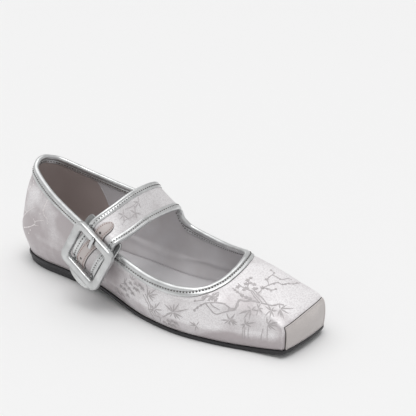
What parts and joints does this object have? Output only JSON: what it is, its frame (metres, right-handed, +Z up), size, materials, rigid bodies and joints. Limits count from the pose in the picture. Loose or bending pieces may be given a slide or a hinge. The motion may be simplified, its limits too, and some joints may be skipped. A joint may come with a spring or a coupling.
{
  "type": "mary jane flat",
  "caption": "Women's right shoe: square-toe flat with a satin jacquard upper, silver leather binding and a wide instep strap through a large covered buckle.",
  "frame": {"origin": "on the floor, under the middle of the shoe's bounding box", "axes": "+X from heel to toe, +Y to the inner (medial) side of this right shoe, +Z up from the floor"},
  "size_m": [0.2474, 0.091, 0.0768],
  "materials": {
    "outsole": "smooth black, lightly worn edge",
    "heel": "smooth black",
    "insole": "light grey smooth sock",
    "upper": "satin jacquard with blossom branches and bamboo, grey and mauve",
    "toe_panel": "plain satin, beige mauve",
    "binding": "metallic silver, fine grain, glossy",
    "strap": "satin jacquard",
    "patch": "pale satin leather, dark edge line",
    "buckle": "metallic silver leather over a metal core",
    "prong": "polished"
  },
  "bodies": {
    "root": {"outsole": "outsole", "heel": "heel", "insole": "insole", "upper": "upper", "toe_panel": "toe_panel", "collar_binding": "binding", "strap": "strap", "strap_rear_binding": "binding", "strap_front_binding": "binding", "strap_patch": "patch", "strap_tip": "binding", "buckle_frame": "buckle", "buckle_bar": "buckle", "buckle_prong": "prong", "buckle_tab": "binding"}
  },
  "joints": []
}
